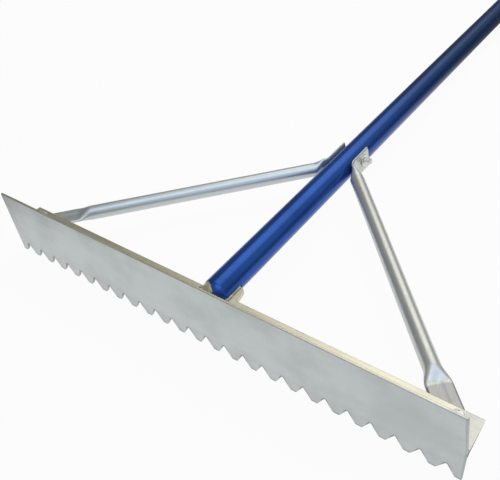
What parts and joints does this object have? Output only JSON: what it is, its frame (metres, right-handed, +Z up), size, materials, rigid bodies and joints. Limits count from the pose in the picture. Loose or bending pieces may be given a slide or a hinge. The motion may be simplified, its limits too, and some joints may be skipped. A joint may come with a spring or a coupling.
{
  "type": "asphalt rake",
  "caption": "Asphalt rake: toothed metal blade with a rear flange, long round handle welded over it and two tube braces.",
  "frame": {"origin": "centre of the bounding box's base: on the floor, half way between the blade's front face and the handle's far end, in the tool's middle plane", "axes": "+Y from the blade along the handle to its far end, +X along the blade, +Z up from the tooth tips to the blade's top edge"},
  "size_m": [0.6156, 1.8596, 0.0924],
  "materials": {
    "mill_aluminium": "mill-finished extrusion, satin",
    "blue_powder_coat": "smooth blue powder coat",
    "galvanised_steel": "galvanised tube",
    "zinc_plate": "bright zinc plate",
    "weld_metal": "as-welded bead",
    "black_plastic": "moulded, matte"
  },
  "bodies": {
    "root": {"rake_head": "mill_aluminium", "handle_tube": "blue_powder_coat", "handle_end_cap": "black_plastic", "handle_weld_upper": "weld_metal", "handle_weld_lower": "weld_metal", "brace_left": "galvanised_steel", "brace_right": "galvanised_steel", "head_bolt_left": "zinc_plate", "head_washer_top_left": "zinc_plate", "head_washer_low_left": "zinc_plate", "head_nut_left": "zinc_plate", "head_bolt_right": "zinc_plate", "head_washer_top_right": "zinc_plate", "head_washer_low_right": "zinc_plate", "head_nut_right": "zinc_plate", "cross_bolt": "zinc_plate", "cross_washer_left": "zinc_plate", "cross_washer_right": "zinc_plate", "cross_nut": "zinc_plate"}
  },
  "joints": []
}
